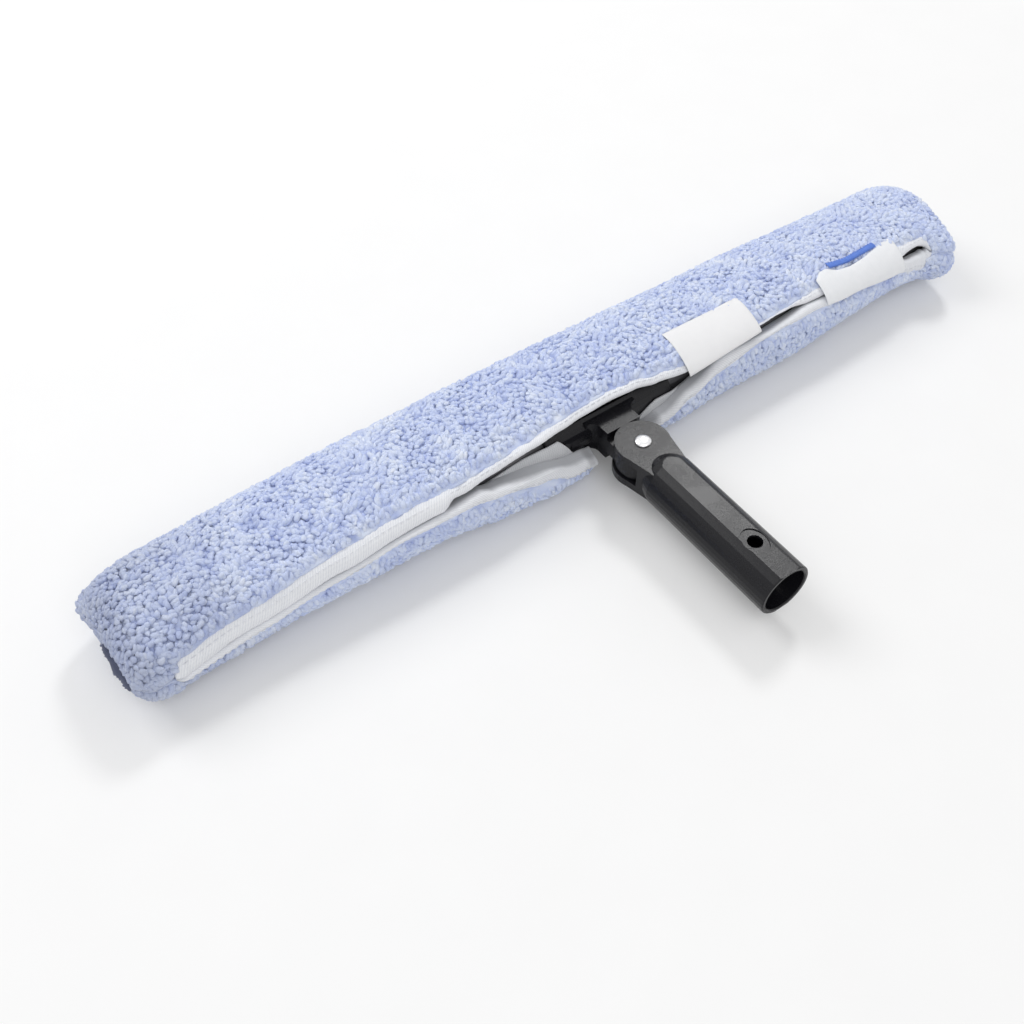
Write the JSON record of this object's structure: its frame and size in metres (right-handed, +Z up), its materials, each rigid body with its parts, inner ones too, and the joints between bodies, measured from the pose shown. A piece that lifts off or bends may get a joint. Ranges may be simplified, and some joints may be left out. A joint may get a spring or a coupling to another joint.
{
  "type": "window strip washer",
  "caption": "Hollow bar in a plush washing sleeve with a slit, closure tape and blank label, carried by a hub and a swivelling handle with a socket for a pole.",
  "frame": {"origin": "on the surface the washer lies on, under the middle of the bar", "axes": "+X along the bar to its right end seen from the handle side, -Y out along the handle, +Z up out of the washer's broad side"},
  "size_m": [0.47, 0.1748, 0.0437],
  "materials": {
    "bar": "black anodised",
    "moulding": "moulded black, fine texture",
    "steel": "bright zinc",
    "black_steel": "black oxide",
    "friction": "natural nylon",
    "plush": "pale periwinkle mottled plush",
    "backing": "white woven ground cloth",
    "binding": "white woven tape",
    "closure": "white hook and loop tape",
    "stitch": "vivid blue thread",
    "seam": "dark overlocked thread",
    "label": "smooth white tab, blank"
  },
  "bodies": {
    "washer": {"t_bar": "bar", "bar_end_cap_left": "moulding", "bar_end_cap_right": "moulding", "end_seam_left": "seam", "end_seam_right": "seam", "hub_screw_left": "black_steel", "hub_screw_right": "black_steel", "swivel_hub": "moulding", "sleeve_pile": "plush", "sleeve_backing": "backing", "slit_binding_upper": "binding", "slit_binding_lower": "binding", "closure_hook_tape": "closure", "closure_loop_tape": "closure", "closure_stitching": "stitch", "blank_label": "label", "friction_washer_upper": "friction", "friction_washer_lower": "friction"},
    "handle": {"handle_body": "moulding", "pivot_rivet": "steel", "rivet_washer": "steel", "wave_washer": "steel"}
  },
  "joints": [
    {"name": "handle_swivel", "type": "hinge", "parent": "washer", "child": "handle", "pos_m": [0, -0.0472, 0.0216], "axis": [0, 0, 1], "range_deg": [-90, 90]}
  ]
}
